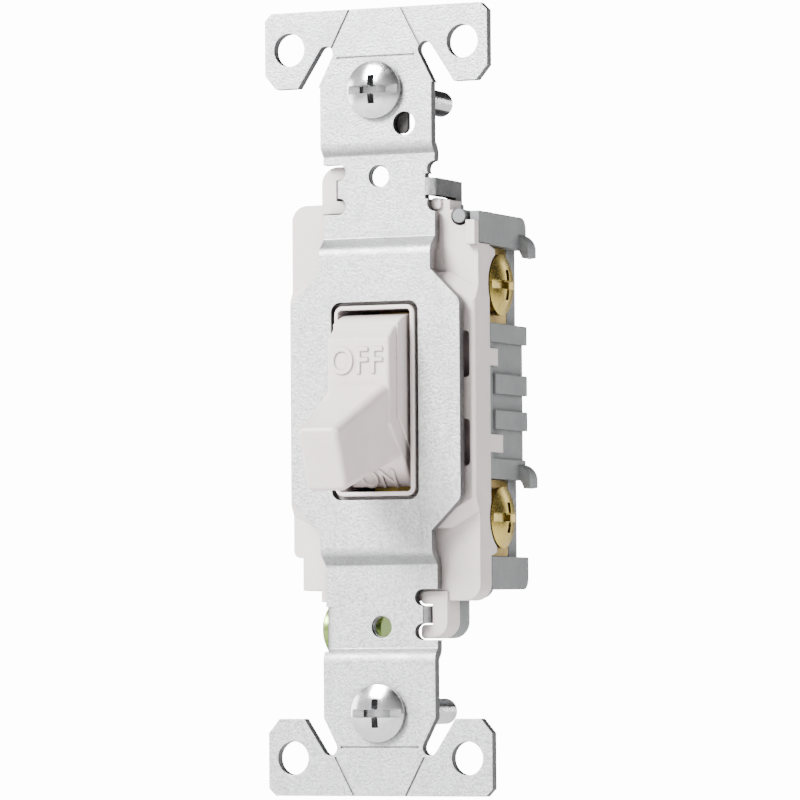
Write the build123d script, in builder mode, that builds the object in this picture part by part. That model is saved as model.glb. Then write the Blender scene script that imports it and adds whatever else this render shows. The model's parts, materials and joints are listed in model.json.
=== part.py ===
from build123d import *
import os
from math import cos, radians, sin, sqrt

# Toggle wall switch, single pole, in millimetres.
# Frame: +X to the right, +Y into the wall, +Z up. The origin is the centre of the four ear holes,
# on the back face of the strap's ears, which is the face that rests against the wall.
# The lever is at rest in its lower position, off.

os.makedirs("parts", exist_ok=True)

# ---------------------------------------------------------------- driving dimensions
# mounting strap
strap_t = 1.4
strap_height = 105.4
ear_width = 32.6
ear_height = 10.3
ear_hole_d = 4.5
ear_hole_inset_x = 3.6
ear_hole_inset_z = 5.05
ear_slot_end_r = 1.05
ear_slot_mouth_r = 1.55
ear_slot_deg = 60.0
ear_slot_rise = 4.45  # the upper slots end this far past the ear's inner edge
low_slot_rise = 3.85
score_rise = 3.8
neck_width = 16.3
tapped_setback = 0.96  # the tapped stretch lies this far behind the ears
centre_step = 0.84  # the centre stretch stands this far in front of the ears
ear_bend_z = 33.8
centre_bend_z = 20.8
box_screw_spacing = 83.34
plate_screw_spacing = 60.33
plate_screw_r = 1.5
centre_width = 24.7
centre_height = 34.8
centre_corner = 4.2
loop_hole_r = 1.6
groove_width = 0.28
groove_depth = 0.2

# the tabs bent back from the strap's edges, and the notches beside them
tab_width = 2.3
notch_r = 1.12
notch_z = 26.3  # the notch nearer the centre
deep_notch_x = 4.85
deep_tab_x = 6.7
deep_tab_length = 10.6
edge_tab_length = 8.8
tab_hook = 2.0
ground_tab_x = 8.45
ground_tab_width = 6.0
ground_tab_length = 11.0

# toggle and its opening
rim_width = 11.7
rim_wall = 0.58
rim_gap = 0.5  # between the rim and the strap's opening
barrel_gap = 0.52  # between the barrel and the rim, at the sides
barrel_end_gap = 0.47  # and above and below
rim_proud = 0.2
pivot_y = 0.6
throw_deg = 43.0
barrel_r = 11.7
barrel_wall = 1.4
face_reach = 8.2  # pivot to the two flat faces that carry the lettering
pad_step = 0.25  # the lettered pad stands in from the barrel by this at top, bottom and sides
pad_rise = 2.4
skirt_end_deg = 118.0
lever_reach = 21.6
lever_root = (8.8, 10.6)  # width and height where the lever leaves the barrel
lever_waist = (7.3, 9.8)
lever_tip = (5.8, 8.8)
lever_drop = 0.55  # the lever's middle lies this far below the barrel's own line
trunnion_r = 1.1
trunnion_length = 1.3
tail_reach = 10.4
tail_r = 0.9
tail_width = 4.6
hub_r = 2.6

# housings
housing_width = 27.3
housing_half_z = 26.75
cut_corner_z = 23.9
cut_corner_x = 10.6
low_corner_x = 12.3
low_corner_z = 20.8
flange_front = 1.3
flange_rear = 5.1
raised_front = 0.0
hook_front = 0.9
hook_bar_x = 9.0
hook_end_z = 31.75
grey_flange_t = 1.5
grey_rear = 17.75
grey_wall = 1.45
grey_half_z = 25.2
grey_rib_x = 13.7
grey_plain_x = 13.0
cavity_gap = 0.3  # between the barrel and the walls of the mechanism's cavity
cavity_half_z = 19.0
pocket_floor_x = 12.0
pocket_back_x = 7.4
pocket_back_y = 14.8
pocket_half_z = 5.2
peg_r = 0.93
peg_place = (11.05, 24.54)

# terminals, on the right-hand side
terminal_z = 15.63
terminal_y = 9.1
terminal_t = 1.2
terminal_face_x = 12.5
terminal_width = 8.6
pressure_width = 5.2
terminal_height = 2 * pocket_half_z - 0.2
terminal_screw_r = 2.05
terminal_head_r = 4.1
head_gap = 0.5  # side-wiring gap between the terminal and the head
pressure_t = 1.4
wire_gap = 1.6
wire_hole_r = 1.35
wire_hole_offset = 3.5
strip_t = 1.0
web_outer_z = 14.4
web_gap = 0.45  # between the swept barrel and the terminals' webs

# contacts
arm_pivot = (12.3, -9.6)
arm_t = 0.8
arm_width = 5.0
arm_overhang = 1.4  # past the contact's centre
arm_open_deg = 5.5
arm_pin_r = 0.6
contact_drop = 1.6  # the contacts lie this far below the line terminal's shelf
contact_r = 1.9
contact_t = 0.65
follower_along = 13.4
follower_r = 1.2
spring_r = 1.6
spring_wire_r = 0.2
spring_along = 11.6

# screws
box_screw_r = 1.75
box_screw_length = 22.2
box_head_r = 3.85
ground_z = -30.45
ground_y = 4.9
ground_screw_r = 2.4
ground_screw_length = 6.8
ground_head_r = 3.6
box_pitch = 0.794
thread_depth = 0.4

# fits
turning_gap = 0.05  # radial clearance of a pin that turns in a bore
still_gap = 0.1  # between pieces that face each other and don't move
free_gap = 0.2  # between pieces that move past each other

# ---------------------------------------------------------------- derived places
ear_x = ear_width / 2
ear_hole_dx = ear_width - 2 * ear_hole_inset_x
ear_hole_dz = strap_height - 2 * ear_hole_inset_z
neck_x = neck_width / 2
strip_end = strap_height / 2
ear_low_z = strip_end - ear_height
ear_mid = -strap_t / 2
tapped_mid = ear_mid + tapped_setback
centre_mid = ear_mid - centre_step
centre_back = centre_mid + strap_t / 2
rim_front = centre_mid - strap_t / 2 - rim_proud
rim_height = 2 * (barrel_r + barrel_end_gap + rim_wall)
opening_width = rim_width + 2 * rim_gap
opening_height = rim_height + 2 * rim_gap
half_throw = throw_deg / 2
barrel_x = rim_width / 2 - rim_wall - barrel_gap
cavity_half_x = barrel_x + cavity_gap
housing_x = housing_width / 2
far_notch_z = notch_z + 2 * notch_r + tab_width
tab_z = (notch_z + far_notch_z) / 2
box_screw_z = box_screw_spacing / 2
grey_front = flange_rear + still_gap
grey_flange_rear = grey_front + grey_flange_t
cavity_rear = grey_rear - grey_wall
terminal_back_x = terminal_face_x - terminal_t
pressure_face_x = terminal_back_x - wire_gap
web_front = grey_front + still_gap
web_rear = web_front + strip_t
contact_face_y = arm_pivot[0] - arm_t / 2 - contact_t - still_gap  # where the fixed contact's face stands
lug_rear = contact_face_y - contact_t
lug_inner_z = sqrt((barrel_r + web_gap) ** 2 - (web_front - pivot_y) ** 2)
contact_z = lug_inner_z - contact_drop
contact_along = contact_z - arm_pivot[1]
arm_length = contact_along + arm_overhang


def facing(y):
    """Plane square to the wall at depth y: local x is X, local y is Z, and it faces the room."""
    return Plane.XZ.offset(-y)


def side(x):
    """Plane across the object at x: local x is Y, local y is Z, and it faces +X."""
    return Plane.YZ.offset(x)


def level(z):
    """Level plane at height z: local x is X, local y is Y."""
    return Plane.XY.offset(z)


def save(part, name):
    part.label = name
    export_step(part, f"parts/{name}.step")


def block(x, y, z, mode=Mode.ADD):
    """Box between two X, two Y and two Z values, in whichever builder is open."""
    with Locations(((x[0] + x[1]) / 2, (y[0] + y[1]) / 2, (z[0] + z[1]) / 2)):
        Box(abs(x[1] - x[0]), abs(y[1] - y[0]), abs(z[1] - z[0]), mode=mode)


def thread_points(radius, start, end, pitch):
    """Half section of the threaded stretch of a screw: one V per pitch, as (radius, distance)."""
    points = []
    for turn in range(int((end - start) / pitch)):
        root = start + (turn + 0.5) * pitch
        points += [(radius - thread_depth, root), (radius, root + pitch / 2)]
    return points


# ---------------------------------------------------------------- mounting strap
# One steel strip: ears at both ends, a stretch set back for the tapped holes, and a stretch in front
# that frames the toggle. The bent strip, seen from the side, is cut to the front outline.
ear_rise = tapped_setback / 2
centre_rise = (tapped_setback + centre_step) * 0.45

with BuildSketch() as centre_plate:
    Rectangle(centre_width, centre_height)
    chamfer(centre_plate.vertices(), length=centre_corner)
    fillet(centre_plate.vertices().group_by(Axis.X)[0], radius=1.5)
    fillet(centre_plate.vertices().group_by(Axis.X)[-1], radius=1.5)

with BuildSketch() as ear_slot:
    Circle(ear_slot_end_r)
    with Locations((10, 0)):
        Circle(ear_slot_mouth_r)
    make_hull()

with BuildPart() as strap:
    with BuildSketch(Plane.YZ):
        with BuildLine():
            FilletPolyline(
                (ear_mid, strip_end),
                (ear_mid, ear_bend_z + ear_rise),
                (tapped_mid, ear_bend_z - ear_rise),
                (tapped_mid, centre_bend_z + centre_rise),
                (centre_mid, centre_bend_z - centre_rise),
                (centre_mid, -centre_bend_z + centre_rise),
                (tapped_mid, -centre_bend_z - centre_rise),
                (tapped_mid, -ear_bend_z + ear_rise),
                (ear_mid, -ear_bend_z - ear_rise),
                (ear_mid, -strip_end),
                radius=0.95,
            )
        trace(line_width=strap_t)
    extrude(amount=ear_x, both=True)

    with BuildSketch(facing(20)):
        Rectangle(neck_width, 2 * ear_low_z + 1)
        add(centre_plate.sketch)
        for way in (1, -1):
            with BuildLine():
                Polyline(
                    (-ear_x + 1.6, way * ear_low_z),
                    (-ear_x, way * (ear_low_z + 1.9)),
                    (-ear_x, way * (strip_end - 1)),
                    (-ear_x + 1, way * strip_end),
                    (ear_x - 1, way * strip_end),
                    (ear_x, way * (strip_end - 1)),
                    (ear_x, way * (ear_low_z + 1.9)),
                    (ear_x - 1.6, way * ear_low_z),
                    close=True,
                )
            make_face()
        # toggle opening, ear holes, tapped holes, box-screw slots and the loop hole
        RectangleRounded(opening_width, opening_height, 1.3, mode=Mode.SUBTRACT)
        with GridLocations(ear_hole_dx, ear_hole_dz, 2, 2):
            Circle(ear_hole_d / 2, mode=Mode.SUBTRACT)
        with GridLocations(0, plate_screw_spacing, 1, 2):
            Circle(plate_screw_r, mode=Mode.SUBTRACT)
        with GridLocations(0, box_screw_spacing, 1, 2):
            SlotOverall(6.0, 2 * box_screw_r + 0.5, mode=Mode.SUBTRACT)
        with Locations((4.15, 37.0)):
            Circle(loop_hole_r, mode=Mode.SUBTRACT)
        # slanted slots that part the ears from the neck
        for across in (1, -1):
            for way in (1, -1):
                turn = -way * ear_slot_deg if across > 0 else 180 + way * ear_slot_deg
                rise = ear_slot_rise if way > 0 else low_slot_rise
                slot_end = (across * (neck_x - 0.85), way * (ear_low_z + rise))
                with Locations(Location(slot_end, turn)):
                    add(ear_slot.sketch, mode=Mode.SUBTRACT)
        # notches, and the room that the bent-back tabs leave
        for z in (notch_z, far_notch_z):
            with Locations((neck_x, z)):
                Circle(notch_r, mode=Mode.SUBTRACT)
            with Locations((-deep_notch_x - 5, z), (deep_notch_x + 5, -z)):
                SlotOverall(10, 2 * notch_r, mode=Mode.SUBTRACT)
        with Locations((-deep_tab_x - 1, tab_z), (deep_tab_x + 1, -tab_z)):
            Rectangle(2 + strap_t, tab_width + 2 * notch_r, mode=Mode.SUBTRACT)
        with Locations((neck_x, tab_z)):
            Rectangle(2 * strap_t, tab_width + notch_r, mode=Mode.SUBTRACT)
        with Locations((-ground_tab_x, ground_z)):
            Rectangle(2 * strap_t, ground_tab_width, mode=Mode.SUBTRACT)
    extrude(amount=40, mode=Mode.INTERSECT)

    # the tabs: each is an L seen from above, and three of them end in a hook
    for x, z, width, length in (
        (deep_tab_x, -tab_z, tab_width, deep_tab_length),
        (-deep_tab_x, tab_z, tab_width, deep_tab_length),
        (neck_x, tab_z, tab_width, edge_tab_length),
        (-ground_tab_x, ground_z, ground_tab_width, ground_tab_length),
    ):
        out = 1 if x > 0 else -1
        tab_mid = x - out * strap_t / 2
        with BuildSketch(level(z - width / 2)):
            with BuildLine():
                FilletPolyline(
                    (x - out * 3.4, tapped_mid),
                    (tab_mid, tapped_mid),
                    (tab_mid, length),
                    radius=0.95,
                )
            trace(line_width=strap_t)
        extrude(amount=width)
        if width == tab_width:
            inward = -1 if z > 0 else 1
            tip = z + inward * (width / 2 + tab_hook)
            block((x, x - out * strap_t), (length - 2, length), (z, tip))

    # a turning clearance in the ground tab, and its rounded end
    with BuildSketch(side(-ground_tab_x - 1)):
        with Locations((ground_y, ground_z)):
            Circle(ground_screw_r + turning_gap)
    extrude(amount=strap_t + 2, mode=Mode.SUBTRACT)
    fillet(strap.edges().filter_by(Axis.X).group_by(Axis.Y)[-1], radius=1.6)

    # score lines across the ears, where they break off
    with BuildSketch(facing(-strap_t)):
        for way in (1, -1):
            score_z = ear_low_z + score_rise
            with Locations((0, way * score_z)):
                Rectangle(11.4, groove_width)
            for across in (1, -1):
                with BuildLine():
                    Line((across * 6.5, way * (score_z + 1.3)), (across * 3.5, way * (strip_end + 0.5)))
                trace(line_width=groove_width)
    extrude(amount=-groove_depth, mode=Mode.SUBTRACT)

save(strap.part, "mounting_strap")

# ---------------------------------------------------------------- front housing
# White moulding: a flange with a raised middle, the rim round the toggle, hooks that wrap the strap's
# tabs at two opposite corners, snap tabs and guards that reach back over the rear housing.
hook_arm_x = deep_notch_x + 0.35
hook_arm_half = 0.85

with BuildSketch() as flange_outline:
    with BuildLine():
        Polyline(
            (-housing_x, housing_half_z),
            # upper right, round the rear housing's peg
            (9.6, housing_half_z),
            (9.6, 25.4),
            (cut_corner_x, 25.4),
            (cut_corner_x, cut_corner_z),
            (housing_x, cut_corner_z),
            (housing_x, -housing_half_z),
            # lower left, beside the ground screw
            (-9.6, -housing_half_z),
            (-9.6, -grey_half_z),
            (-low_corner_x, -grey_half_z),
            (-low_corner_x, -low_corner_z),
            (-housing_x, -low_corner_z),
            close=True,
        )
    make_face()
    corners = flange_outline.vertices().filter_by(
        lambda v: abs(abs(v.X) - housing_x) < 0.01 and abs(abs(v.Y) - housing_half_z) < 0.01
    )
    fillet(corners, radius=2.2)
    low_corner = flange_outline.vertices().sort_by_distance((-housing_x, -low_corner_z))[0]
    fillet(low_corner, radius=1.0)
    with Locations(peg_place):
        Circle(peg_r + 0.35, mode=Mode.SUBTRACT)

with BuildSketch() as corner_hook:
    # the hook at the lower right; the upper left one is the same, turned half round
    with BuildLine():
        Polyline(
            (hook_arm_x, -notch_z + hook_arm_half),
            (hook_bar_x, -notch_z + hook_arm_half),
            (hook_bar_x, -hook_end_z),
            (hook_arm_x, -hook_end_z),
            (hook_arm_x, -tab_z - tab_width / 2 - 0.2),
            (deep_tab_x + 0.15, -tab_z - tab_width / 2 - 0.2),
            (deep_tab_x + 0.15, -notch_z - hook_arm_half),
            (hook_arm_x, -notch_z - hook_arm_half),
            close=True,
        )
    make_face()
    fillet(corner_hook.vertices().sort_by_distance((hook_bar_x, -hook_end_z))[0], radius=2.3)
    arm_ends = corner_hook.vertices().group_by(Axis.X)[0]
    fillet(arm_ends, radius=0.55)

with BuildPart() as front:
    with BuildSketch(facing(flange_rear)):
        add(flange_outline.sketch)
    extrude(amount=flange_rear - flange_front)

    # raised middle, with sloping faces towards the four corners
    with BuildSketch(facing(flange_front)) as middle:
        with BuildLine():
            slant_ends = ((housing_x, 14.9), (9.6, 17.1))
            Polyline(
                *slant_ends,
                *[(-x, z) for x, z in reversed(slant_ends)],
                *[(-x, -z) for x, z in slant_ends],
                *[(x, -z) for x, z in reversed(slant_ends)],
                close=True,
            )
        make_face()
    extrude(amount=flange_front - raised_front)
    slants = front.edges().group_by(Axis.Y)[0].filter_by(
        lambda e: abs(e.tangent_at(0.5).X) > 0.3 and abs(e.tangent_at(0.5).Z) > 0.3
    )
    front_face = front.faces().sort_by(Axis.Y)[0]
    chamfer(slants, length=1.8, length2=1.2, reference=front_face)
    long_edges = front.edges().group_by(Axis.Y)[0].filter_by(Axis.Z)
    fillet(long_edges, radius=0.6)

    # platform under the strap, and the rim
    with BuildSketch(facing(raised_front)) as platform:
        Rectangle(centre_width - 2.4, centre_height - 2.4)
        chamfer(platform.vertices(), length=centre_corner)
    extrude(amount=raised_front - centre_back)
    with BuildSketch(facing(centre_back)):
        RectangleRounded(rim_width, rim_height, 1.2)
    extrude(amount=centre_back - rim_front)
    fillet(front.faces().sort_by(Axis.Y)[0].edges(), radius=0.25)

    # hooks and the short arm in the upper right notch
    for turn in (0, 180):
        with BuildSketch(facing(flange_rear)):
            add(corner_hook.sketch, rotation=turn)
        extrude(amount=flange_rear - hook_front)
    with BuildSketch(facing(flange_rear)):
        with Locations((7.75, notch_z)):
            RectangleRounded(1.4, 1.5, 0.5)
    extrude(amount=flange_rear - hook_front)

    # corner post at the upper right, and the step behind it where the grey wall comes forward
    post_x = (12.36, housing_x)
    block((low_corner_x, housing_x + 1), (1.5, flange_rear + 1), (20.9, 25), Mode.SUBTRACT)
    block(post_x, (0.1, 1.5), (20.65, cut_corner_z))

    # snap tabs and terminal guards, behind the flange
    for turn in (1, -1):
        tab_x = (turn * (grey_plain_x + still_gap), turn * housing_x)
        block(tab_x, (flange_rear - 1, 7.8), (turn * 4.7, turn * 7.0))
        block(tab_x, (flange_rear - 1, 9.35), (turn * -6.9, turn * -4.5))
    for way in (1, -1):
        with BuildSketch(side(housing_x)):
            with BuildLine():
                Polyline(
                    (flange_rear - 0.5, way * 17.2),
                    (flange_rear - 0.5, way * 20.7),
                    (5.4, way * 20.7),
                    (7.0, way * 20.3),
                    (7.0, way * 19.2),
                    close=True,
                )
            make_face()
        extrude(amount=-1.1)
        with BuildSketch(side(housing_x + 1)):
            with Locations((terminal_y, way * terminal_z)):
                Circle(terminal_head_r + 0.35)
        extrude(amount=-1.8, mode=Mode.SUBTRACT)

    # the toggle's opening, its bearings, and the recesses beside the strap
    with BuildSketch(facing(flange_rear)):
        RectangleRounded(rim_width - 2 * rim_wall, rim_height - 2 * rim_wall, 0.5)
    extrude(amount=flange_rear - rim_front, mode=Mode.SUBTRACT)
    trunnion_x = barrel_x + trunnion_length
    with BuildSketch(side(0)):
        with Locations((pivot_y, 0)):
            Circle(trunnion_r + turning_gap)
        with Locations(((pivot_y + flange_rear) / 2, 0)):
            Rectangle(flange_rear - pivot_y, 2 * (trunnion_r + turning_gap))
    extrude(amount=trunnion_x + free_gap, both=True, mode=Mode.SUBTRACT)
    for turn in (1, -1):
        with BuildSketch(facing(3.5)):
            with Locations((turn * 11.6, turn * 6.05), (turn * 11.6, turn * -5.7)):
                RectangleRounded(2.4, 6.2, 0.5)
        extrude(amount=6, mode=Mode.SUBTRACT)

save(front.part, "front_housing")

# ---------------------------------------------------------------- stops
# Rubber bars across the box that silence the toggle at each end of its swing.
slope = radians(half_throw)
skirt = radians(skirt_end_deg)
skirt_rear = barrel_r * cos(skirt)
stop_gap = 0.3
stop_t = 1.5
stop_width = 1.3
stop_inset = 1.08
stop_side = barrel_r * sin(skirt) - stop_inset
stop_x = cavity_half_x + 0.6


def stop_outline(way, ease):
    """Outline of a stop, from the side; its toggle line is mirrored for the upper one."""
    toggle_line = Plane(
        origin=(0, pivot_y, 0), x_dir=(0, -cos(slope), way * sin(slope)), z_dir=(-1, 0, 0)
    )
    with BuildSketch(toggle_line) as outline:
        with Locations((skirt_rear - stop_gap - stop_t / 2, way * stop_side)):
            Rectangle(stop_t + 2 * ease, stop_width + 2 * ease)
    return outline.sketch


# ---------------------------------------------------------------- rear housing
# Grey moulding: a flange behind the white one, a deep box for the mechanism, and on the right two
# pockets for the terminals between blocks and ribs.
with BuildSketch() as claw:
    # wire guard at the rear upper edge of a pocket, seen from the front
    with BuildLine():
        Polyline((12.5, 7.2), (13.6, 7.2))
        RadiusArc((13.6, 7.2), (15.15, 5.3), 2.2)
        Polyline((15.15, 5.3), (15.15, 4.1), (14.2, 4.0))
        RadiusArc((14.2, 4.0), (12.5, 5.9), -2.6)
        Line((12.5, 5.9), (12.5, 7.2))
    make_face()

with BuildPart() as rear:
    with BuildSketch(facing(grey_flange_rear)):
        offset(flange_outline.sketch, amount=-0.3, kind=Kind.INTERSECTION)
        with Locations((11.6, 24.4)):
            Rectangle(3.5, 1.8)
    extrude(amount=grey_flange_t)
    block((-grey_plain_x, grey_plain_x), (grey_front, grey_rear), (-grey_half_z, grey_half_z))
    for turn in (1, -1):
        # end blocks, pocket wall and the two middle ribs, the same on both sides
        notch_x = (turn * grey_plain_x, turn * housing_x)
        notch_y = (grey_front - 1, grey_flange_rear + 1)
        block(notch_x, notch_y, (turn * 4.6, turn * 7.1), Mode.SUBTRACT)
        block(notch_x, notch_y, (turn * -7.0, turn * -4.4), Mode.SUBTRACT)
        block((0, turn * grey_rib_x), (grey_front, grey_rear), (turn * 20.83, turn * grey_half_z))
        block((0, turn * grey_rib_x), (grey_front, grey_rear), (turn * -20.83, turn * -grey_half_z))
        block((0, turn * grey_rib_x), (grey_front, grey_rear), (turn * 7.9, turn * 10.43))
        block((0, turn * 13.4), (grey_front, grey_rear), (turn * -7.7, turn * -10.43))
        block((0, turn * grey_rib_x), (grey_front + 1.6, grey_rear), (turn * 1.0, turn * 3.7))
        block((0, turn * grey_rib_x), (grey_front + 1.6, grey_rear), (turn * -1.2, turn * -3.75))
    round_edges = rear.edges().filter_by(Axis.X).group_by(Axis.Y)[-1]
    outer_rear = round_edges.filter_by(lambda e: abs(abs(e.center().Z) - grey_half_z) < 0.01)
    fillet(outer_rear, radius=1.6)

    # bearing posts that close the toggle's bearings, peg ends, and the backing of the white hooks
    for turn in (1, -1):
        post_x = (turn * cavity_half_x, turn * (barrel_x + trunnion_length))
        block(post_x, (pivot_y + trunnion_r + turning_gap, grey_front + 1), (-0.95, 0.95))
        with BuildSketch(facing(8.4)):
            add(corner_hook.sketch, rotation=90 - 90 * turn)
        extrude(amount=8.4 - grey_front)

    # peg in the white housing's notch, and the wall that comes forward beside it
    with BuildSketch(facing(grey_front + 1)):
        with Locations(peg_place):
            Circle(peg_r)
    extrude(amount=grey_front + 1 - hook_front)
    block((low_corner_x + 0.1, grey_rib_x), (1.6, grey_front + 1), (21.0, grey_half_z))

    # mechanism cavity
    with BuildSketch(facing(cavity_rear)):
        Rectangle(2 * cavity_half_x, 2 * cavity_half_z)
    extrude(amount=cavity_rear - grey_front + 1e-3, mode=Mode.SUBTRACT)

    for way in (1, -1):
        # terminal pocket, wire holes from behind, and the notch that lets the terminal's web through
        with BuildSketch(facing(pocket_back_y)):
            with Locations(((pocket_back_x + 15) / 2, way * terminal_z)):
                Rectangle(15 - pocket_back_x, 2 * pocket_half_z)
        extrude(amount=pocket_back_y - grey_front + 1e-3, mode=Mode.SUBTRACT)
        with BuildSketch(facing(grey_rear)):
            with Locations((pocket_floor_x + 1.5, way * terminal_z)):
                Rectangle(3, 2 * pocket_half_z)
        extrude(amount=grey_rear - pocket_back_y + 1, mode=Mode.SUBTRACT)
        wire_x = (terminal_back_x + pressure_face_x) / 2
        with BuildSketch(facing(grey_rear)):
            with Locations((wire_x, way * terminal_z)):
                with GridLocations(0, 2 * wire_hole_offset, 1, 2):
                    Circle(wire_hole_r)
        extrude(amount=grey_rear - pocket_back_y, mode=Mode.SUBTRACT)
        with BuildSketch(facing(web_rear + still_gap)):
            notch_middle = way * (lug_inner_z + web_outer_z) / 2
            with Locations(((cavity_half_x + terminal_face_x) / 2, notch_middle)):
                Rectangle(
                    terminal_face_x - cavity_half_x + 0.2, web_outer_z - lug_inner_z + 3 * still_gap
                )
        extrude(amount=2, mode=Mode.SUBTRACT)
        groove = stop_outline(way, turning_gap)
        extrude(groove, amount=stop_x + turning_gap, both=True, mode=Mode.SUBTRACT)
    for z in (terminal_z, terminal_z - 31.2):
        with BuildSketch(facing(grey_rear)):
            with Locations((0, z)):
                add(claw.sketch)
        extrude(amount=2.7)

save(rear.part, "rear_housing")

# ---------------------------------------------------------------- toggle
# A hollow barrel with two flat faces, turning on two trunnions. The lever leaves it at the front, and
# a tail at the back works the contact arm. Drawn along the lever's own line, which slopes down at rest.
lever_plane = Plane(
    origin=(0, pivot_y, 0), x_dir=(0, -cos(slope), -sin(slope)), z_dir=(-1, 0, 0)
)


def barrel_face(radius, reach, rear_x):
    """Barrel section of a given radius, cut by the two flat faces and open at the rear."""
    with BuildSketch(lever_plane) as face:
        Circle(radius)
        for way in (1, -1):
            lean = way * half_throw
            middle = reach + 10
            at = Location((middle * cos(radians(lean)), middle * sin(radians(lean))), lean)
            with Locations(at):
                Rectangle(20, 60, mode=Mode.SUBTRACT)
        with Locations((rear_x - 15, 0)):
            Rectangle(30, 60, mode=Mode.SUBTRACT)
    return face.sketch


with BuildPart() as toggle:
    pad_x = barrel_x - pad_step
    extrude(barrel_face(barrel_r - pad_step, face_reach, skirt_rear), amount=pad_x, both=True)
    fillet(toggle.edges().filter_by(lambda e: abs(abs(e.center().X) - pad_x) < 0.01), radius=0.4)
    extrude(barrel_face(barrel_r, face_reach - pad_rise, skirt_rear), amount=barrel_x, both=True)
    fillet(toggle.edges().filter_by(lambda e: abs(abs(e.center().X) - barrel_x) < 0.01), radius=0.2)
    hollow = barrel_face(barrel_r - barrel_wall, face_reach - barrel_wall, -30)
    extrude(hollow, amount=barrel_x - barrel_wall, both=True, mode=Mode.SUBTRACT)

    # lever: three sections, lofted
    for distance, (width, height) in (
        (face_reach - barrel_wall, lever_root),
        (13.0, lever_waist),
        (lever_reach, lever_tip),
    ):
        across = Plane(
            origin=lever_plane.from_local_coords((distance, -lever_drop, 0)),
            x_dir=(1, 0, 0),
            z_dir=lever_plane.x_dir,
        )
        with BuildSketch(across):
            RectangleRounded(width, height, 1.0)
    loft()
    tip = toggle.faces().sort_by(Axis.Y)[0]
    fillet(tip.edges(), radius=0.7)

    # hub, tail and trunnions
    with BuildSketch(lever_plane):
        Circle(hub_r)
    extrude(amount=barrel_x - 0.5, both=True)
    with BuildSketch(lever_plane):
        with Locations((-tail_reach, 0)):
            Circle(tail_r)
        with BuildLine():
            Polyline(
                (0, 2.0), (-tail_reach, tail_r), (-tail_reach, -tail_r), (0, -2.0), close=True
            )
        make_face()
    extrude(amount=tail_width / 2, both=True)
    with BuildSketch(lever_plane):
        Circle(trunnion_r)
    extrude(amount=barrel_x + trunnion_length, both=True)

save(toggle.part, "toggle_handle")

# ---------------------------------------------------------------- screws
# Each has its own plane: local x lies across the screw, local y runs from the head into the work.
slot_width = 1.15
slot_depth = 0.9
cross_width = 0.95
cross_depth = 1.5


def screw_shape(plane, head_r, rim, dome, profile):
    """Turned screw with a domed head, a slot and a cross; profile is the shank as (radius, distance)."""
    with BuildSketch(plane) as section:
        with BuildLine():
            ThreePointArc((0, -dome), (head_r * 0.6, -(rim + dome) / 2 - 0.16), (head_r, -rim))
            Polyline((head_r, -rim), (head_r, 0), *profile, (0, profile[-1][1]), (0, -dome))
        make_face()
    revolve(section.sketch, axis=Axis(plane.origin, plane.y_dir))
    top = Plane(
        origin=plane.origin - plane.y_dir * (dome + 0.1), x_dir=plane.x_dir, z_dir=-plane.y_dir
    )
    with BuildSketch(top) as slot:
        Rectangle(2 * head_r + 1, slot_width)
    extrude(slot.sketch, amount=-slot_depth, mode=Mode.SUBTRACT)
    with BuildSketch(top) as cross:
        Rectangle(head_r, cross_width)
        Rectangle(cross_width, head_r)
    extrude(cross.sketch, amount=-cross_depth, mode=Mode.SUBTRACT)


# mounting screws: a slim neck that the washer holds, a plain stretch, then thread
box_neck_r = 1.3
plain_start = 2.65
plain_end = 5.45
box_profile = [
    (box_neck_r, 0),
    (box_neck_r, plain_start),
    (box_screw_r, plain_start),
    (box_screw_r, plain_end),
    *thread_points(box_screw_r, plain_end, box_screw_length, box_pitch),
    (box_screw_r - 0.5, box_screw_length),
]


def box_screw_plane(z):
    return Plane(origin=(0, -strap_t - turning_gap, z), x_dir=(1, 0, 0), z_dir=(0, 0, 1))


with BuildPart() as mounting_screw_upper:
    screw_shape(box_screw_plane(box_screw_z), box_head_r, 0.7, 1.65, box_profile)
save(mounting_screw_upper.part, "mounting_screw_upper")

with BuildPart() as mounting_screw_lower:
    screw_shape(box_screw_plane(-box_screw_z), box_head_r, 0.7, 1.65, box_profile)
save(mounting_screw_lower.part, "mounting_screw_lower")

# terminal screws: thread along the whole shank
terminal_profile = [
    (terminal_screw_r, 0),
    (terminal_screw_r, 0.6),
    *thread_points(terminal_screw_r, 0.6, head_gap + 4.9, box_pitch),
    (terminal_screw_r - 0.5, head_gap + 5.0),
]


def terminal_screw_plane(z):
    return Plane(
        origin=(terminal_face_x + head_gap, terminal_y, z), x_dir=(0, 1, 0), z_dir=(0, 0, 1)
    )


with BuildPart() as terminal_screw_upper:
    screw_shape(terminal_screw_plane(terminal_z), terminal_head_r, 0.7, 1.7, terminal_profile)
save(terminal_screw_upper.part, "terminal_screw_upper")

with BuildPart() as terminal_screw_lower:
    screw_shape(terminal_screw_plane(-terminal_z), terminal_head_r, 0.7, 1.7, terminal_profile)
save(terminal_screw_lower.part, "terminal_screw_lower")

# ground screw, in its tab
ground_profile = [
    (ground_screw_r, 0),
    (ground_screw_r, 0.6),
    *thread_points(ground_screw_r, 0.6, ground_screw_length - 0.1, box_pitch),
    (ground_screw_r - 0.6, ground_screw_length),
]
with BuildPart() as ground_screw:
    screw_shape(
        Plane(
            origin=(-ground_tab_x - turning_gap, ground_y, ground_z),
            x_dir=(0, 1, 0),
            z_dir=(0, 0, -1),
        ),
        ground_head_r,
        0.8,
        2.2,
        ground_profile,
    )
save(ground_screw.part, "ground_screw")


# fibre washers that keep the mounting screws in the ears
def retainer_shape(z):
    with BuildSketch(facing(0.8)) as washer:
        with Locations((0, z)):
            RectangleRounded(8.2, 11.6, 0.8)
            Circle(box_neck_r + turning_gap, mode=Mode.SUBTRACT)
    extrude(washer.sketch, amount=0.8)


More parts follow.
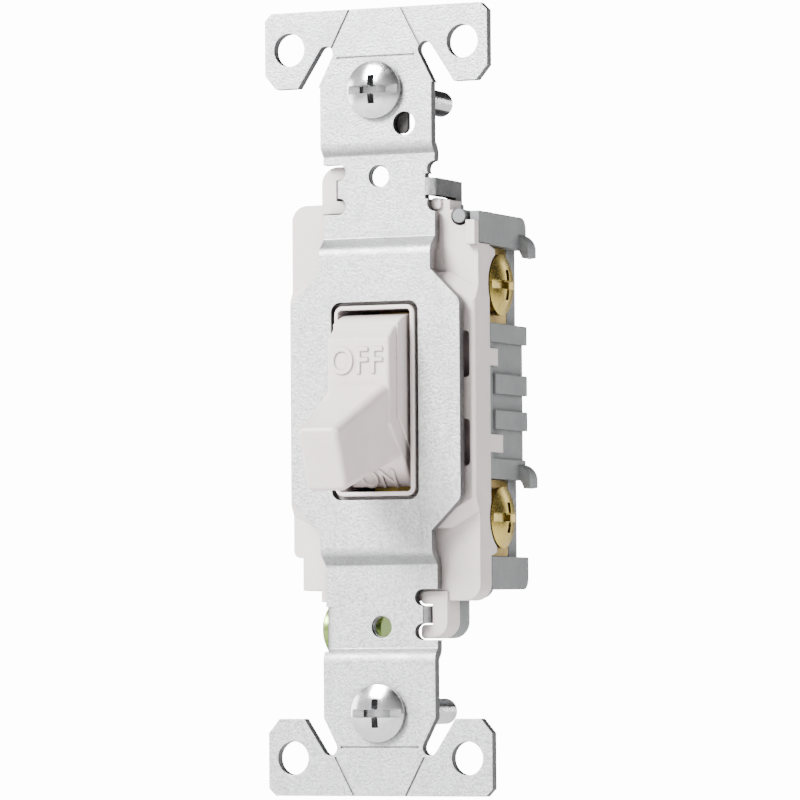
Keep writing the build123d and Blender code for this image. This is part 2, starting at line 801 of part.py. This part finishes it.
with BuildPart() as screw_retainer_upper:
    retainer_shape(box_screw_z)
save(screw_retainer_upper.part, "screw_retainer_upper")

with BuildPart() as screw_retainer_lower:
    retainer_shape(-box_screw_z)
save(screw_retainer_lower.part, "screw_retainer_lower")

# ---------------------------------------------------------------- terminals
plate_rear = terminal_y + terminal_width / 2


def terminal_shape(way, inner_x):
    """Plate behind the screw head, and the web that runs inward along the front of the box."""
    with BuildSketch(side(terminal_face_x)) as plate:
        with Locations(((web_front + plate_rear) / 2, way * terminal_z)):
            RectangleRounded(plate_rear - web_front, terminal_height, 0.4)
        with Locations((terminal_y, way * terminal_z)):
            Circle(terminal_screw_r + turning_gap, mode=Mode.SUBTRACT)
    extrude(plate.sketch, amount=-terminal_t)
    block((inner_x, terminal_back_x), (web_front, web_rear), (way * lug_inner_z, way * web_outer_z))


# upper terminal: its web ends in a lug that holds the fixed contact
with BuildPart() as line_terminal:
    terminal_shape(1, -arm_width / 2)
    shelf_x = (-arm_width / 2, arm_width / 2)
    block(shelf_x, (web_front, lug_rear), (lug_inner_z, lug_inner_z + strip_t))
    with BuildSketch(facing(lug_rear)):
        with Locations((0, contact_z + 1.2)):
            RectangleRounded(arm_width, 4.8, 0.9)
        with Locations((0, contact_z)):
            Circle(contact_r / 2, mode=Mode.SUBTRACT)
    extrude(amount=strip_t)
save(line_terminal.part, "line_terminal")

with BuildPart() as fixed_contact:
    with BuildSketch(facing(contact_face_y)):
        with Locations((0, contact_z)):
            Circle(contact_r)
    extrude(amount=contact_t)
    fillet(fixed_contact.edges().group_by(Axis.Y)[-1], radius=0.25)
    with BuildSketch(facing(lug_rear)):
        with Locations((0, contact_z)):
            Circle(contact_r / 2)
    extrude(amount=strip_t)
    with BuildSketch(facing(lug_rear - strip_t)):
        with Locations((0, contact_z)):
            Circle(contact_r * 0.6)
    extrude(amount=0.2)
save(fixed_contact.part, "fixed_contact")

# lower terminal: its web meets a shelf with two ears that carry the arm's pin
ear_inner_x = arm_width / 2 + 0.2
shelf_z = -web_outer_z
with BuildPart() as load_terminal:
    terminal_shape(-1, -ear_inner_x - 0.8)
    shelf_rear = arm_pivot[0] + 1.4
    block(
        (-ear_inner_x - 0.8, ear_inner_x + 0.8),
        (web_front, shelf_rear),
        (shelf_z, shelf_z + strip_t),
    )
    for turn in (1, -1):
        with BuildSketch(side(turn * (ear_inner_x + 0.4))):
            with Locations((arm_pivot[0], (arm_pivot[1] + shelf_z) / 2)):
                Rectangle(2.8, arm_pivot[1] - shelf_z)
            with Locations(arm_pivot):
                Circle(1.4)
                Circle(arm_pin_r, mode=Mode.SUBTRACT)
        extrude(amount=0.4, both=True)
save(load_terminal.part, "load_terminal")

with BuildPart() as arm_pivot_pin:
    with BuildSketch(side(0)):
        with Locations(arm_pivot):
            Circle(arm_pin_r)
    extrude(amount=ear_inner_x + 1.1, both=True)
    fillet(arm_pivot_pin.edges().filter_by(GeomType.CIRCLE), radius=0.15)
save(arm_pivot_pin.part, "arm_pivot_pin")


# clamping plates behind the terminals, threaded for the screws
def pressure_shape(way):
    with BuildSketch(side(pressure_face_x)) as plate:
        with Locations((terminal_y, way * terminal_z)):
            RectangleRounded(pressure_width, terminal_height - 0.5, 0.8)
            Circle(terminal_screw_r + turning_gap, mode=Mode.SUBTRACT)
    extrude(plate.sketch, amount=-pressure_t)
    # grip grooves on the face that meets the wire
    with BuildSketch(side(pressure_face_x)) as grooves:
        with Locations((terminal_y, way * terminal_z)):
            with GridLocations(0, 2 * wire_hole_offset, 1, 2):
                with GridLocations(1.2, 0, 5, 1):
                    Rectangle(0.35, 2.2)
    extrude(grooves.sketch, amount=-0.25, mode=Mode.SUBTRACT)


with BuildPart() as pressure_plate_upper:
    pressure_shape(1)
save(pressure_plate_upper.part, "pressure_plate_upper")

with BuildPart() as pressure_plate_lower:
    pressure_shape(-1)
save(pressure_plate_lower.part, "pressure_plate_lower")

# ---------------------------------------------------------------- contact arm
# Drawn at rest, leaning back from its pin, so the contacts are apart.
lean = radians(arm_open_deg)
arm_plane = Plane(
    origin=(0, arm_pivot[0], arm_pivot[1]), x_dir=(0, sin(lean), cos(lean)), z_dir=(1, 0, 0)
)


def arm_square(height):
    """Plane square to the arm, facing the room, at a height in front of the arm's middle."""
    return Plane(
        origin=arm_plane.from_local_coords((0, height, 0)),
        x_dir=(1, 0, 0),
        z_dir=arm_plane.y_dir,
    )


with BuildPart() as contact_arm:
    with BuildSketch(arm_plane):
        Circle(1.2)
        with Locations((arm_length / 2, 0)):
            Rectangle(arm_length, arm_t)
        with Locations((follower_along, arm_t / 2)):
            Circle(follower_r)
        with Locations((follower_along, -arm_t / 2 - 2)):
            Rectangle(4, 4, mode=Mode.SUBTRACT)
        Circle(arm_pin_r + turning_gap, mode=Mode.SUBTRACT)
    extrude(amount=arm_width / 2, both=True)
    with BuildSketch(arm_square(2)):
        with Locations((0, contact_along)):
            Circle(contact_r / 2)
    extrude(amount=-4, mode=Mode.SUBTRACT)
    tip_corners = contact_arm.edges().filter_by(lambda e: e.length < arm_t + 0.01).group_by(Axis.Z)
    fillet(tip_corners[-1], radius=1.6)
save(contact_arm.part, "contact_arm")

with BuildPart() as moving_contact:
    with BuildSketch(arm_square(arm_t / 2)):
        with Locations((0, contact_along)):
            Circle(contact_r)
    extrude(amount=contact_t)
    with BuildSketch(arm_square(-arm_t / 2)):
        with Locations((0, contact_along)):
            Circle(contact_r / 2)
    extrude(amount=arm_t)
    with BuildSketch(arm_square(-arm_t / 2)):
        with Locations((0, contact_along)):
            Circle(contact_r * 0.7)
    extrude(amount=-0.3)
save(moving_contact.part, "moving_contact")

# spring that pushes the arm forward, between the arm and the back wall
spring_z = arm_pivot[1] + spring_along * cos(lean)
spring_front = arm_pivot[0] + spring_along * sin(lean) + arm_t / 2 + spring_r * sin(lean) + 0.05
spring_turns = 3
spring_height = cavity_rear - spring_front - 2 * spring_wire_r - 0.05
with BuildPart() as contact_spring:
    start = (0, spring_front + spring_wire_r, spring_z)
    with BuildLine():
        coil = Helix(
            pitch=spring_height / spring_turns,
            height=spring_height,
            radius=spring_r,
            center=start,
            direction=(0, 1, 0),
        )
    with BuildSketch(Plane(origin=coil @ 0, z_dir=coil % 0)):
        Circle(spring_wire_r)
    sweep()
save(contact_spring.part, "contact_spring")

# ---------------------------------------------------------------- stops and shield
with BuildPart() as toggle_bumper_upper:
    extrude(stop_outline(1, 0), amount=stop_x, both=True)
save(toggle_bumper_upper.part, "toggle_bumper_upper")

with BuildPart() as toggle_bumper_lower:
    extrude(stop_outline(-1, 0), amount=stop_x, both=True)
save(toggle_bumper_lower.part, "toggle_bumper_lower")

with BuildPart() as arc_shield:
    # fibre sheet folded round the contacts
    with BuildSketch(level(7.0)):
        with BuildLine():
            shield_x = cavity_half_x - still_gap - 0.25
            shield_y = cavity_rear - still_gap - 0.25
            FilletPolyline(
                (-shield_x, 11.6),
                (-shield_x, shield_y),
                (shield_x, shield_y),
                (shield_x, 11.6),
                radius=0.6,
            )
        trace(line_width=0.5)
    extrude(amount=8.0)
save(arc_shield.part, "arc_shield")
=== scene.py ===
# %% [markdown]
# # A toggle wall switch
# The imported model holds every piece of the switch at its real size, in metres, with +Y into the
# wall and +Z up. It is loaded first and never moved: this lesson only adds finishes, fine detail,
# light and a camera.

# %% Load the switch
import json
import math

import bpy
from mathutils import Matrix, Vector


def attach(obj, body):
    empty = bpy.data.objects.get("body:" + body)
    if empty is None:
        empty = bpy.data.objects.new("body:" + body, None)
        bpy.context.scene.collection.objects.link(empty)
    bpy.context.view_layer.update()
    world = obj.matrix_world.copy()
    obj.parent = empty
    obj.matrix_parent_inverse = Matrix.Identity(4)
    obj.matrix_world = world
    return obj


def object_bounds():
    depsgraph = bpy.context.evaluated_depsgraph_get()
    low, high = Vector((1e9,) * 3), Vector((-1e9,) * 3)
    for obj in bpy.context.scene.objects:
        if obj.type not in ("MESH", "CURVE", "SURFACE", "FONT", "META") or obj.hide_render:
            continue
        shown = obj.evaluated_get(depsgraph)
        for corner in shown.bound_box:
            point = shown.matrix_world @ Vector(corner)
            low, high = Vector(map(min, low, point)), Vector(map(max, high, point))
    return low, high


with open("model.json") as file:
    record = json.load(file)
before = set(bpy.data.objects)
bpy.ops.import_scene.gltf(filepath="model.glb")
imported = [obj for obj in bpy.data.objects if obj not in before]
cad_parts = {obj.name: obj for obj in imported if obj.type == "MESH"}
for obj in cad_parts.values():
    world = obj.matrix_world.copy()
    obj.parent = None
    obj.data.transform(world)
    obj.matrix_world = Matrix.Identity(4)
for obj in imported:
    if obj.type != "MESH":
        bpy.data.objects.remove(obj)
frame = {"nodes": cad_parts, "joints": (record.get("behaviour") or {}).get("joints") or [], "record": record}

cad_low, cad_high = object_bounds()
nodes = frame["nodes"]
print(len(nodes), "pieces loaded; size in mm:", [round(v * 1000, 1) for v in cad_high - cad_low])

# %% [markdown]
# ## Writing finishes as sums
# A finish is a small web of shader nodes. Wiring it by hand is slow to read, so one small class
# wraps a socket and lets it be added, multiplied and compared like a number. Anything that isn't a
# sum comes from one method, `node`, which takes the node's type, its settings and its inputs.


# %% A socket that can be used in sums
class Signal:
    def __init__(self, finish, socket):
        self.finish = finish
        self.socket = socket

    def _sum(self, operation, first, second):
        return self.finish.node("ShaderNodeMath", {"operation": operation}, {0: first, 1: second})

    def __add__(self, other):
        return self._sum("ADD", self, other)

    def __sub__(self, other):
        return self._sum("SUBTRACT", self, other)

    def __rsub__(self, other):
        return self._sum("SUBTRACT", other, self)

    def __mul__(self, other):
        return self._sum("MULTIPLY", self, other)

    __radd__ = __add__
    __rmul__ = __mul__


# %% A finish: one material and the nodes that feed it
class Finish:
    def __init__(self, name, roughness=0.5, metallic=0.0, **constants):
        self.material = bpy.data.materials.new(name)
        self.material.use_nodes = True
        self.tree = self.material.node_tree
        self.shader = self.tree.nodes["Principled BSDF"]
        self.shader.inputs["Roughness"].default_value = roughness
        self.shader.inputs["Metallic"].default_value = metallic
        for socket, value in constants.items():
            self.shader.inputs[socket.replace("_", " ")].default_value = value
        self.place = self.node("ShaderNodeTexCoord", output="Object")

    def node(self, kind, settings=None, inputs=None, output=0):
        made = self.tree.nodes.new(kind)
        for key, value in (settings or {}).items():
            if key == "stops":
                self._set_stops(made.color_ramp, value)
            else:
                setattr(made, key, value)
        for key, value in (inputs or {}).items():
            if isinstance(value, Signal):
                self.tree.links.new(value.socket, made.inputs[key])
            else:
                made.inputs[key].default_value = value
        return Signal(self, made.outputs[output])

    def _set_stops(self, ramp, stops):
        for i, (position, level) in enumerate(stops):
            stop = ramp.elements[i] if i < 2 else ramp.elements.new(position)
            stop.position = position
            stop.color = (level, level, level, 1)

    def speckle(self, size, detail=3.0, stretch=(1, 1, 1), rough=0.55):
        """Soft random spots about `size` metres across, from 0 to 1."""
        stretched = self.node(
            "ShaderNodeVectorMath", {"operation": "MULTIPLY"}, {0: self.place, 1: stretch}
        )
        return self.node(
            "ShaderNodeTexNoise",
            inputs={"Vector": stretched, "Scale": 1 / size, "Detail": detail, "Roughness": rough},
        )

    def ramp(self, value, *stops):
        return self.node("ShaderNodeValToRGB", {"stops": stops}, {0: value})

    def mix(self, factor, first, second):
        """Colour between two colours."""
        settings = {"data_type": "RGBA"}
        return self.node("ShaderNodeMix", settings, {0: factor, 6: first, 7: second}, output=2)

    def painted_gap_shade(self, reach=0.004, stops=((0.25, 1.0), (0.85, 0.0))):
        """1 deep in a narrow gap, 0 in the open, from how much of the surroundings is hidden. Used as a mask
        for painted shade in gaps.
        """
        hidden = self.node("ShaderNodeAmbientOcclusion", {"samples": 6}, {"Distance": reach}, 1)
        return self.ramp(hidden, *stops)

    def rounded(self, reach):
        """Surface direction with every sharp edge softened over `reach`."""
        return self.node("ShaderNodeBevel", {"samples": 4}, {"Radius": reach})

    def edges(self, reach=0.0003):
        """1 on a sharp edge, 0 on the flat, from how far the surface turns within `reach`."""
        flat = self.node("ShaderNodeNewGeometry", output="Normal")
        turn = self.node(
            "ShaderNodeVectorMath", {"operation": "DOT_PRODUCT"}, {0: flat, 1: self.rounded(reach)}, 1
        )
        return self.ramp(turn, (0.75, 1.0), (0.98, 0.0))

    def turned_from(self, axis, start, end):
        """0 on a face square to the axis, 1 on a face that turns well away from it."""
        flat = self.node("ShaderNodeNewGeometry", output="Normal")
        along = self.node("ShaderNodeVectorMath", {"operation": "DOT_PRODUCT"}, {0: flat, 1: axis}, 1)
        facing = self.node("ShaderNodeMath", {"operation": "ABSOLUTE"}, {0: along})
        return self.ramp(facing, (end, 1.0), (start, 0.0))

    def relief(self, height, depth, under=None):
        """Bump from a height signal; depth in metres."""
        inputs = {"Height": height, "Distance": depth, "Strength": 1.0}
        if under is not None:
            inputs["Normal"] = under
        return self.node("ShaderNodeBump", inputs=inputs)

    def feed(self, **signals):
        for socket, value in signals.items():
            self.tree.links.new(value.socket, self.shader.inputs[socket.replace("_", " ")])
        return self.material


print("finish tools ready")

# %% [markdown]
# ## Galvanised steel
# The strap is punched from zinc-coated strip. The zinc is pale, a little cloudy, and finely brushed
# by the rolls along its length. A fine grain carries most of the tone, over faint clouds and streaks
# stretched along Z. Faces that turn away from the front and back, the bends and the punched edges,
# are painted darker: partly bare steel on the punched edges, mostly painted shade. Sharp edges get a
# painted highlight, and narrow gaps a painted shade.


# %% Galvanised steel
def galvanised_steel():
    f = Finish("galvanised_steel", roughness=0.42, metallic=1.0)
    clouds = f.ramp(f.speckle(0.0030, 5.0, rough=0.65), (0.36, 0.0), (0.66, 1.0))
    grain = f.ramp(f.speckle(0.00030, 2.0, rough=0.6), (0.34, 0.0), (0.64, 1.0))
    rolled = f.ramp(f.speckle(0.0009, 4.0, (1.0, 1.0, 0.14), 0.6), (0.38, 0.0), (0.62, 1.0))
    pits = f.ramp(f.speckle(0.00045, 3.0, rough=0.75), (0.60, 0.0), (0.70, 1.0))
    tone = clouds * 0.14 + rolled * 0.12 + grain * 0.74
    zinc = f.mix(tone, (0.43, 0.432, 0.435, 1), (0.72, 0.725, 0.73, 1))
    zinc = f.mix(pits * 0.55, zinc, (0.20, 0.20, 0.20, 1))
    # painted highlight: sharp edges are lightened as if they caught the light
    zinc = f.mix(f.edges() * 0.4, zinc, (0.80, 0.81, 0.80, 1))
    # painted shade, partly real: faces turned away from front and back (bends, punched edges) darkened; bare
    # steel only on the punched edges
    zinc = f.mix(f.turned_from((0, 1, 0), 0.96, 0.45) * 0.78, zinc, (0.10, 0.10, 0.105, 1))
    # painted shade: narrow gaps are darkened almost to black
    zinc = f.mix(f.painted_gap_shade() * 0.85, zinc, (0.04, 0.04, 0.038, 1))
    shine = 0.50 - clouds * 0.12 + grain * 0.14
    surface = f.relief(grain * 0.6 + rolled * 0.4, 0.00004, f.rounded(0.00015))
    return f.feed(Base_Color=zinc, Roughness=shine, Normal=surface)


strap_finish = galvanised_steel()
print("made", strap_finish.name)

# %% [markdown]
# ## Moulded plastics
# Three mouldings: the white front housing, the toggle in the same white with a finer polish, and the
# grey rear housing. Moulded plastic is never quite one colour. It has faint flow clouds, a fine spark
# texture from the mould, and a dull bloom that varies over a few millimetres. A trace of light passes
# into white plastic, so the two white ones get a little subsurface.


# %% One recipe for all three mouldings
def moulded(name, light, dark, roughness, grain_depth, subsurface=0.0):
    f = Finish(
        name, roughness=roughness, Subsurface_Weight=subsurface, Subsurface_Scale=0.0008, IOR=1.49
    )
    flow = f.speckle(0.006, 3.0, (1, 1, 0.5))
    bloom = f.speckle(0.0017, 3.0)
    spark = f.speckle(0.00016, 2.0, rough=0.4)
    tone = f.ramp(flow * 0.6 + bloom * 0.4, (0.35, 0.0), (0.65, 1.0))
    colour = f.mix(tone, dark, light)
    # painted shade: narrow gaps are darkened towards a fifth of the dark colour
    colour = f.mix(f.painted_gap_shade(0.003) * 0.75, colour, tuple(0.2 * c for c in dark[:3]) + (1,))
    shine = roughness - 0.05 + bloom * 0.1
    surface = f.relief(spark, grain_depth, f.rounded(0.00025))
    return f.feed(Base_Color=colour, Roughness=shine, Normal=surface)


white_finish = moulded(
    "white_plastic", (0.84, 0.755, 0.735, 1), (0.79, 0.705, 0.685, 1), 0.42, 0.000012, 0.05
)
toggle_finish = moulded(
    "toggle_plastic", (0.82, 0.725, 0.705, 1), (0.78, 0.685, 0.665, 1), 0.32, 0.000005, 0.05
)
grey_finish = moulded("grey_plastic", (0.25, 0.258, 0.262, 1), (0.20, 0.208, 0.213, 1), 0.46, 0.00002)
print("made", white_finish.name, toggle_finish.name, grey_finish.name)

# %% [markdown]
# ## Screws and current-carrying metal
# The brass is bright and turned, so it keeps fine rings and small dark spots; the box screws are
# zinc-plated and brighter than the strap; the ground screw is dyed green over steel. One recipe with
# six colours covers the brass, the strip behind it, the steels and the silver contacts, because what
# differs is colour, shine and how strong the spots are.


# %% One recipe for the plated and bare metals
def turned_metal(name, light, dark, roughness, spots=0.3, **constants):
    f = Finish(name, roughness=roughness, metallic=1.0, **constants)
    haze = f.speckle(0.0014, 4.0)
    fine = f.speckle(0.00025, 3.0, rough=0.6)
    tarnish = f.ramp(f.speckle(0.0021, 5.0, rough=0.7), (0.5, 0.0), (0.75, 1.0))
    colour = f.mix(haze * 0.7 + fine * 0.3, dark, light)
    colour = f.mix(tarnish * spots, colour, tuple(0.45 * c for c in dark[:3]) + (1,))
    # painted highlight: sharp edges are lightened past the light colour as if catching light
    colour = f.mix(f.edges(0.0002) * 0.4, colour, tuple(min(1, 1.25 * c) for c in light[:3]) + (1,))
    # painted shade: narrow gaps are darkened almost to black
    colour = f.mix(f.painted_gap_shade(0.0015) * 0.8, colour, tuple(0.1 * c for c in dark[:3]) + (1,))
    shine = roughness - 0.06 + haze * 0.12 + tarnish * 0.15
    return f.feed(Base_Color=colour, Roughness=shine, Normal=f.relief(fine, 0.000008))


brass_finish = turned_metal("brass_screw", (0.95, 0.74, 0.21, 1), (0.74, 0.53, 0.12, 1), 0.27, 0.3)
strip_finish = turned_metal("brass_strip", (0.70, 0.50, 0.14, 1), (0.42, 0.28, 0.07, 1), 0.34, 0.4)
bright_finish = turned_metal("bright_steel", (0.74, 0.74, 0.75, 1), (0.48, 0.48, 0.49, 1), 0.17, 0.3)
green_finish = turned_metal("green_screw", (0.34, 0.46, 0.14, 1), (0.16, 0.25, 0.06, 1), 0.3, 0.4)
silver_finish = turned_metal("contact_silver", (0.9, 0.89, 0.86, 1), (0.7, 0.69, 0.66, 1), 0.28, 0.3)
spring_finish = turned_metal("spring_steel", (0.55, 0.55, 0.57, 1), (0.35, 0.35, 0.37, 1), 0.3, 0.15)
print("made six metals")

# %% [markdown]
# ## Fibre and rubber
# Vulcanised fibre is pressed paper: dyed black, dull, with short strands. The rubber stops are black and
# slightly dusty. Both are hidden in normal use, but they show from behind and from the side.


# %% Fibre and rubber
def dull(name, light, dark, roughness, stretch):
    f = Finish(name, roughness=roughness)
    strands = f.speckle(0.0007, 5.0, stretch, 0.65)
    dust = f.speckle(0.0025, 3.0)
    colour = f.mix(strands * 0.7 + dust * 0.3, dark, light)
    return f.feed(Base_Color=colour, Roughness=roughness + dust * 0.1, Normal=f.relief(strands, 0.00003))


fibre_finish = dull("fibre", (0.075, 0.07, 0.068, 1), (0.03, 0.028, 0.027, 1), 0.75, (0.25, 1, 1))
rubber_finish = dull("black_rubber", (0.07, 0.07, 0.07, 1), (0.03, 0.03, 0.03, 1), 0.7, (1, 1, 1))
print("made", fibre_finish.name, rubber_finish.name)

# %% [markdown]
# ## Give each piece its finish
# The record says which material slot each piece uses, so one dictionary from slot to finish is
# enough. Curved faces are shaded smooth and creases kept sharp by angle.

# %% Finishes on the pieces
finishes = {
    "galvanised_steel": strap_finish,
    "white_plastic": white_finish,
    "toggle_plastic": toggle_finish,
    "grey_plastic": grey_finish,
    "bright_steel": bright_finish,
    "brass_screw": brass_finish,
    "brass_strip": strip_finish,
    "green_screw": green_finish,
    "fibre": fibre_finish,
    "contact_silver": silver_finish,
    "spring_steel": spring_finish,
    "black_rubber": rubber_finish,
}
slot_of = {entry["node"]: entry["material_slot"] for entry in frame["record"]["subparts"]}


def wear(piece, finish):
    piece.data.materials.clear()
    piece.data.materials.append(finish)


def smooth(piece, degrees=32):
    for face in piece.data.polygons:
        face.use_smooth = True
    piece.data.set_sharp_from_angle(angle=math.radians(degrees))


for name, piece in nodes.items():
    wear(piece, finishes[slot_of[name]])
    smooth(piece)
print("finished", len(nodes), "pieces")

# %% [markdown]
# ## Raised lettering on the toggle
# The two flat faces of the toggle carry the words OFF and ON in low relief. They are text curves
# with a little depth, laid on planes square to each face and riding on the toggle. The toggle's pivot
# comes from its joint.

# %% Lettering
tilt = next(j for j in frame["joints"] if j["name"] == "toggle_tilt")
pivot = Vector(tilt["pos_m"])
half_throw = math.radians(tilt["range_deg"][1]) / 2
face_reach = 0.0082


def lettering(word, face_angle, along, height, width, shift):
    """Raised word on the face whose outward line drops by face_angle below level."""
    curve = bpy.data.curves.new(f"lettering_{word.lower()}", "FONT")
    curve.body = word
    curve.size = height / 0.72
    curve.align_x = "CENTER"
    curve.align_y = "CENTER"
    curve.space_character = 1.05
    curve.extrude = 0.00015
    curve.bevel_depth = 0.00007
    curve.bevel_resolution = 1
    piece = bpy.data.objects.new(curve.name, curve)
    bpy.context.collection.objects.link(piece)
    out = Vector((0, -math.cos(face_angle), -math.sin(face_angle)))
    up = Vector((0, -math.sin(face_angle), math.cos(face_angle)))
    right = Vector((1, 0, 0))
    at = pivot + out * (face_reach + 0.00002) + up * along + right * shift
    turn = Matrix((right, up, out)).transposed().to_4x4()
    piece.matrix_world = Matrix.Translation(at) @ turn
    bpy.context.view_layer.update()
    piece.scale.x = width / piece.dimensions.x
    wear(piece, toggle_finish)
    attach(piece, "toggle")
    return piece


off_word = lettering("OFF", 0.0, 0.0049, 0.0036, 0.0076, -0.0002)
on_word = lettering("ON", 2 * half_throw, -0.0066, 0.0032, 0.0052, 0.0)
print("letters:", off_word.name, on_word.name)

# %% [markdown]
# ## Threads in the wall-plate holes
# The two small holes above and below the toggle are tapped. Each gets one thin steel coil that lies
# on its wall, at the pitch of the screws that a wall plate brings.


# %% Threads
def thread_coil(name, centre, radius, depth, body, slot, wire, pitch=0.000794):
    """A thin coil round Y, on the wall of a tapped hole."""
    curve = bpy.data.curves.new(name, "CURVE")
    curve.dimensions = "3D"
    curve.bevel_depth = wire
    curve.bevel_resolution = 1
    turns = depth / pitch
    count = int(turns * 24)
    path = curve.splines.new("POLY")
    path.points.add(count)
    for i, point in enumerate(path.points):
        angle = math.tau * turns * i / count
        y = centre.y + depth * (i / count - 0.5)
        point.co = (centre.x + radius * math.cos(angle), y, centre.z + radius * math.sin(angle), 1)
    coil = bpy.data.objects.new(name, curve)
    bpy.context.collection.objects.link(coil)
    wear(coil, finishes[slot])
    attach(coil, body)


plate_holes = next(m for m in frame["record"]["mounts"] if m["name"] == "wall_plate_holes")
hole_r = plate_holes["dims"]["hole_r_mm"] / 1000
hole_z = plate_holes["dims"]["spacing_y_mm"] / 2000
for name, z in (("upper_hole_thread", hole_z), ("lower_hole_thread", -hole_z)):
    wall = Vector((0, plate_holes["pos_m"][1], z))
    thread_coil(name, wall, hole_r - 0.00004, 0.0010, "switch_frame", "galvanised_steel", 0.00011)
print("thread coils at z =", round(hole_z * 1000, 2), "mm, up and down")

# %% [markdown]
# ## Floor, light and camera
# A pale floor, four soft lights, and a long lens from low on the right. The surround is white to the
# camera, but what the metal mirrors is bright in front and below and dim above and behind, because a
# bend in shiny strip only reads when it mirrors something darker than the flat beside it.
# A long lens keeps the ears the same size, which is how such parts are usually shown.

# %% Floor
floor_mesh = bpy.data.meshes.new("floor")
floor_z = cad_low.z - 0.03
corners = [(x, y, floor_z) for x, y in ((-0.6, -0.6), (0.6, -0.6), (0.6, 0.6), (-0.6, 0.6))]
floor_mesh.from_pydata(corners, [], [(0, 1, 2, 3)])
floor = bpy.data.objects.new("floor", floor_mesh)
bpy.context.collection.objects.link(floor)
paper = Finish("floor_paper", roughness=0.9)
paper_tone = paper.speckle(0.02, 3.0)
wear(floor, paper.feed(Base_Color=paper.mix(paper_tone, (0.88, 0.88, 0.88, 1), (0.92, 0.92, 0.92, 1))))
print("floor at", round(floor_z * 1000, 1), "mm")


# %% Lights
def soft_light(name, place, size, power):
    lamp = bpy.data.lights.new(name, "AREA")
    lamp.shape = "RECTANGLE"
    lamp.size, lamp.size_y = size
    lamp.energy = power
    light = bpy.data.objects.new(name, lamp)
    light.location = place
    light.rotation_mode = "QUATERNION"
    light.rotation_quaternion = (-Vector(place)).to_track_quat("-Z", "Y")
    bpy.context.collection.objects.link(light)


soft_light("key", (-0.26, -0.52, 0.44), (0.30, 0.30), 17)
soft_light("side", (0.62, -0.16, 0.05), (0.12, 0.5), 2.5)
soft_light("left", (-0.6, -0.15, -0.05), (0.2, 0.6), 3)
soft_light("back", (0.30, 0.62, 0.04), (0.22, 0.5), 0.7)
world = bpy.data.worlds.new("studio")
world.use_nodes = True
sky = world.node_tree
seen = sky.nodes.new("ShaderNodeLightPath")
looking = sky.nodes.new("ShaderNodeTexCoord")
dark_side = sky.nodes.new("ShaderNodeVectorMath")
dark_side.operation = "DOT_PRODUCT"
sky.links.new(looking.outputs["Generated"], dark_side.inputs[0])
dark_side.inputs[1].default_value = (0.5, 0.25, 0.7)
studio = sky.nodes.new("ShaderNodeMapRange")
sky.links.new(dark_side.outputs["Value"], studio.inputs["Value"])
lit_strength, dim_strength, turn_over = 1.25, 0.04, 0.35
studio.inputs["From Min"].default_value = -turn_over
studio.inputs["From Max"].default_value = turn_over
studio.inputs["To Min"].default_value = lit_strength
studio.inputs["To Max"].default_value = dim_strength
backdrop = sky.nodes.new("ShaderNodeMix")
sky.links.new(seen.outputs["Is Camera Ray"], backdrop.inputs[0])
sky.links.new(studio.outputs["Result"], backdrop.inputs[2])
backdrop_strength = 14.0
backdrop.inputs[3].default_value = backdrop_strength
sky.nodes["Background"].inputs[0].default_value = (1, 1, 1, 1)
sky.links.new(backdrop.outputs[0], sky.nodes["Background"].inputs[1])
bpy.context.scene.world = world
print("four lights and a surround with a dark side")

# %% Camera
camera_azimuth, camera_rise, camera_roll = (math.radians(d) for d in (23.963, -2.606, -0.392))
camera_distance = 0.73643
back = Vector(
    (
        math.sin(camera_azimuth) * math.cos(camera_rise),
        -math.cos(camera_azimuth) * math.cos(camera_rise),
        math.sin(camera_rise),
    )
)
level = Vector((math.cos(camera_azimuth), math.sin(camera_azimuth), 0))
above = level.cross(-back)
right = level * math.cos(camera_roll) + above * math.sin(camera_roll)
up = above * math.cos(camera_roll) - level * math.sin(camera_roll)
aim = Vector((0, -0.0014, 0)) + right * 0.0030254 + up * 0.0001133

camera_data = bpy.data.cameras.new("camera")
camera_data.lens = 248.13
camera_data.sensor_width = 36
camera_data.clip_start, camera_data.clip_end = 0.05, 20
camera = bpy.data.objects.new("camera", camera_data)
camera.matrix_world = Matrix.Translation(aim + back * camera_distance) @ Matrix(
    (right, up, back)
).transposed().to_4x4()
bpy.context.collection.objects.link(camera)
bpy.context.scene.camera = camera
print("camera", round(camera_distance, 3), "m away")
